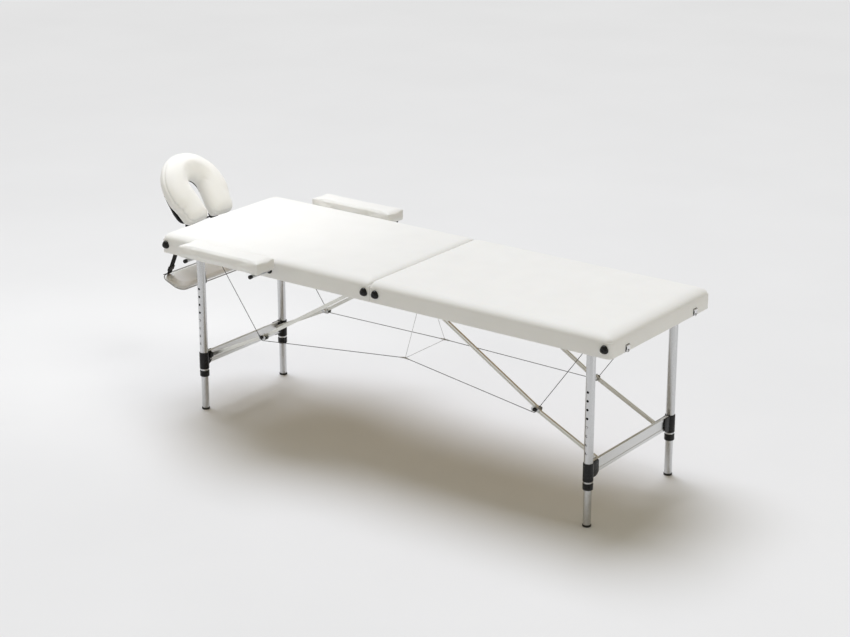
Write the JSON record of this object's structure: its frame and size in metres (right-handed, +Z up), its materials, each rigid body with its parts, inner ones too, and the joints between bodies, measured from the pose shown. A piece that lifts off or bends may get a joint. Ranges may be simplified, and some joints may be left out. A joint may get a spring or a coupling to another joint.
{
  "type": "portable massage table",
  "caption": "Folding padded massage table with aluminium legs, knee struts, brace cables, a tilting face cradle, armrests and a hanging arm sling.",
  "frame": {"origin": "middle of the bottom of the whole object's box, on the floor", "axes": "+Z up, X along the bed with the head end at -X and the foot end at +X, Y across it with the near long side at -Y"},
  "size_m": [2.0882, 0.828, 0.8762],
  "materials": {
    "upholstery": "smooth warm-white leatherette, soft sheen",
    "sling_cover": "smooth warm-white leatherette",
    "wood": "pale plywood, wrapped in leatherette on the outside",
    "aluminium": "satin anodised",
    "steel": "zinc-plated",
    "chrome": "bright chrome",
    "black_plastic": "glossy black moulding",
    "rubber": "matt black",
    "wire": "twisted steel cable",
    "cord": "thin grey elastic cord",
    "webbing": "black woven webbing"
  },
  "bodies": {
    "head_panel": {"head_panel_frame": "wood", "head_panel_board": "wood", "head_cushion": "upholstery", "middle_hinge_head_leaf": "steel", "head_near_leg_bracket": "steel", "head_far_leg_bracket": "steel", "head_near_cable": "wire", "head_far_cable": "wire", "lifter_cord": "cord", "head_carry_handle": "webbing"},
    "foot_panel": {"foot_panel_frame": "wood", "foot_panel_board": "wood", "foot_cushion": "upholstery", "middle_hinge_foot_leaf": "steel", "foot_near_leg_bracket": "steel", "foot_far_leg_bracket": "steel", "foot_near_cable": "wire", "foot_far_cable": "wire", "foot_carry_handle": "webbing"},
    "head_leg_frame": {"head_crossbar": "aluminium", "head_near_outer_tube": "aluminium", "head_near_clamp": "black_plastic", "head_near_collar": "black_plastic", "head_far_outer_tube": "aluminium", "head_far_clamp": "black_plastic", "head_far_collar": "black_plastic"},
    "head_upper_struts": {"head_near_upper_strut": "aluminium", "head_far_upper_strut": "aluminium"},
    "head_lower_struts": {"head_near_lower_strut": "aluminium", "head_far_lower_strut": "aluminium"},
    "head_near_inner_leg": {"head_near_inner_tube": "aluminium", "head_near_leg_foot": "rubber"},
    "head_far_inner_leg": {"head_far_inner_tube": "aluminium", "head_far_leg_foot": "rubber"},
    "foot_leg_frame": {"foot_crossbar": "aluminium", "foot_near_outer_tube": "aluminium", "foot_near_clamp": "black_plastic", "foot_near_collar": "black_plastic", "foot_far_outer_tube": "aluminium", "foot_far_clamp": "black_plastic", "foot_far_collar": "black_plastic"},
    "foot_upper_struts": {"foot_near_upper_strut": "aluminium", "foot_far_upper_strut": "aluminium"},
    "foot_lower_struts": {"foot_near_lower_strut": "aluminium", "foot_far_lower_strut": "aluminium"},
    "foot_near_inner_leg": {"foot_near_inner_tube": "aluminium", "foot_near_leg_foot": "rubber"},
    "foot_far_inner_leg": {"foot_far_inner_tube": "aluminium", "foot_far_leg_foot": "rubber"},
    "cradle_base": {"cradle_prongs": "black_plastic"},
    "cradle": {"cradle_plate": "black_plastic", "face_cushion": "upholstery"},
    "near_armrest": {"near_armrest_frame": "steel", "near_armrest_pad": "upholstery"},
    "far_armrest": {"far_armrest_frame": "steel", "far_armrest_pad": "upholstery"},
    "arm_sling": {"arm_sling": "sling_cover"},
    "near_latch": {"near_case_latch": "chrome"},
    "far_latch": {"far_case_latch": "chrome"}
  },
  "joints": [
    {"name": "table_fold", "type": "hinge", "parent": "head_panel", "child": "foot_panel", "pos_m": [0.11445, 0, 0.6012], "axis": [0, 1, 0], "range_deg": [0, 180], "deforming": ["head_near_cable", "head_far_cable", "foot_near_cable", "foot_far_cable", "lifter_cord"]},
    {"name": "head_leg_fold", "type": "hinge", "parent": "head_panel", "child": "head_leg_frame", "pos_m": [-0.71555, 0, 0.63], "axis": [0, -1, 0], "range_deg": [0, 90]},
    {"name": "head_upper_strut_fold", "type": "hinge", "parent": "head_panel", "child": "head_upper_struts", "pos_m": [0.06445, 0, 0.6415], "axis": [0, 1, 0], "range_deg": [0, 31.25]},
    {"name": "head_lower_strut_fold", "type": "hinge", "parent": "head_leg_frame", "child": "head_lower_struts", "pos_m": [-0.70405, 0, 0.204], "axis": [0, -1, 0], "range_deg": [0, 64.07]},
    {"name": "head_near_leg_length", "type": "slide", "parent": "head_leg_frame", "child": "head_near_inner_leg", "axis": [0, 0, -1], "range_m": [-0.0888, 0.0888]},
    {"name": "head_far_leg_length", "type": "slide", "parent": "head_leg_frame", "child": "head_far_inner_leg", "axis": [0, 0, -1], "range_m": [-0.0888, 0.0888]},
    {"name": "foot_leg_fold", "type": "hinge", "parent": "foot_panel", "child": "foot_leg_frame", "pos_m": [0.94445, 0, 0.63], "axis": [0, 1, 0], "range_deg": [0, 90]},
    {"name": "foot_upper_strut_fold", "type": "hinge", "parent": "foot_panel", "child": "foot_upper_struts", "pos_m": [0.16445, 0, 0.6415], "axis": [0, -1, 0], "range_deg": [0, 31.25]},
    {"name": "foot_lower_strut_fold", "type": "hinge", "parent": "foot_leg_frame", "child": "foot_lower_struts", "pos_m": [0.93295, 0, 0.204], "axis": [0, 1, 0], "range_deg": [0, 64.07]},
    {"name": "foot_near_leg_length", "type": "slide", "parent": "foot_leg_frame", "child": "foot_near_inner_leg", "axis": [0, 0, -1], "range_m": [-0.0888, 0.0888]},
    {"name": "foot_far_leg_length", "type": "slide", "parent": "foot_leg_frame", "child": "foot_far_inner_leg", "axis": [0, 0, -1], "range_m": [-0.0888, 0.0888]},
    {"name": "cradle_pull", "type": "slide", "parent": "head_panel", "child": "cradle_base", "axis": [-1, 0, 0], "range_m": [0, 0.05]},
    {"name": "cradle_tilt", "type": "hinge", "parent": "cradle_base", "child": "cradle", "pos_m": [-0.90455, 0, 0.633], "axis": [0, 1, 0], "range_deg": [-50, 12]},
    {"name": "near_armrest_pull", "type": "slide", "parent": "head_panel", "child": "near_armrest", "axis": [0, -1, 0], "range_m": [0, 0.06]},
    {"name": "far_armrest_pull", "type": "slide", "parent": "head_panel", "child": "far_armrest", "axis": [0, 1, 0], "range_m": [0, 0.06]},
    {"name": "sling_swing", "type": "hinge", "parent": "head_panel", "child": "arm_sling", "pos_m": [-0.82755, 0, 0.612], "axis": [0, 1, 0], "range_deg": [0, 45]},
    {"name": "near_latch_swing", "type": "hinge", "parent": "foot_panel", "child": "near_latch", "pos_m": [1.04775, 0, 0.624], "axis": [0, -1, 0], "range_deg": [0, 100]},
    {"name": "far_latch_swing", "type": "hinge", "parent": "foot_panel", "child": "far_latch", "pos_m": [1.04775, 0, 0.624], "axis": [0, -1, 0], "range_deg": [0, 100]}
  ],
  "couplings": [
    {"joint": "head_leg_fold", "follows": "table_fold", "ratio": 0.5},
    {"joint": "head_upper_strut_fold", "follows": "table_fold", "ratio": 0.17359},
    {"joint": "head_lower_strut_fold", "follows": "table_fold", "ratio": 0.35594},
    {"joint": "foot_leg_fold", "follows": "table_fold", "ratio": 0.5},
    {"joint": "foot_upper_strut_fold", "follows": "table_fold", "ratio": 0.17359},
    {"joint": "foot_lower_strut_fold", "follows": "table_fold", "ratio": 0.35594}
  ]
}
